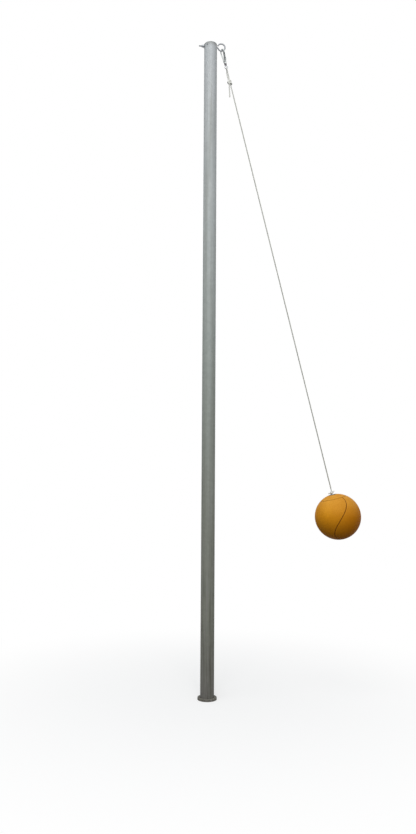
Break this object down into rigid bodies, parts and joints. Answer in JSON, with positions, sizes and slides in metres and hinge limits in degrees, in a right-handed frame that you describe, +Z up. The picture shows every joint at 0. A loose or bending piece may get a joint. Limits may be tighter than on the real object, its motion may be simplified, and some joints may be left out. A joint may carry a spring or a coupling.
{
  "type": "tetherball pole",
  "caption": "Round pole in a ground sleeve, with a ball on a rope hung from a bent eye bolt by a swivelling snap hook.",
  "frame": {"origin": "on the pole's axis, at ground level", "axes": "+Z up the pole; +X the way the eye bolt points, which is the way the ball hangs out"},
  "size_m": [0.7574, 0.2076, 3.6209],
  "materials": {
    "galvanised": "matt grey",
    "hardware": "zinc plated",
    "casting": "plated",
    "spring_steel": "bright",
    "rope": "off-white braid",
    "ball_rubber": "fine grain",
    "black_rubber": "matt"
  },
  "bodies": {
    "ground_sleeve": {"sleeve_tube": "galvanised", "sleeve_collar": "galvanised", "sleeve_base_plate": "galvanised", "sleeve_cross_pin": "hardware"},
    "pole": {"pole_tube": "galvanised", "pole_cap": "galvanised", "cap_screw": "hardware", "eye_bolt": "hardware", "eye_bolt_washer": "hardware", "eye_bolt_nut": "hardware", "eye_bolt_jam_nut": "hardware"},
    "snap_hook": {"snap_hook_body": "casting", "gate_rivet": "hardware", "gate_spring": "spring_steel"},
    "gate": {"snap_gate": "casting"},
    "swivel": {"swivel_eye": "casting"},
    "tether": {"tether_top_hitch": "rope", "tether_rope": "rope", "tether_ball_hitch": "rope"},
    "ball": {"ball_cover": "ball_rubber", "ball_bladder": "black_rubber", "ball_valve": "black_rubber", "anchor_cup": "ball_rubber", "anchor_pin": "hardware"}
  },
  "joints": [
    {"name": "pole_lift", "type": "slide", "parent": "ground_sleeve", "child": "pole", "axis": [0, 0, 1], "range_m": [0, 0.62]},
    {"name": "snap_swing", "type": "hinge", "parent": "pole", "child": "snap_hook", "pos_m": [0.0515, 0, 2.994], "axis": [0, -1, 0], "range_deg": [-11.5, 76]},
    {"name": "gate_opening", "type": "hinge", "parent": "snap_hook", "child": "gate", "pos_m": [0.06907, -0.0052, 2.93551], "axis": [-0.8407, -0.5, -0.208], "range_deg": [0, 18], "stiffness_Nm_per_rad": 0.25, "springref_deg": -20.05, "deforming": ["gate_spring"]},
    {"name": "swivel_turn", "type": "hinge", "parent": "snap_hook", "child": "swivel", "pos_m": [0.073, 0, 2.90712], "axis": [-0.2402, 0, 0.9707], "continuous": true},
    {"name": "tether_pivot", "type": "hinge", "parent": "swivel", "child": "tether", "pos_m": [0.07703, 0, 2.89083], "axis": [0.9707, 0, 0.2402], "range_deg": [-80, 80]},
    {"name": "ball_pivot", "type": "hinge", "parent": "tether", "child": "ball", "pos_m": [0.57616, 0, 0.87396], "axis": [0, 1, 0], "range_deg": [-15, 15]}
  ]
}
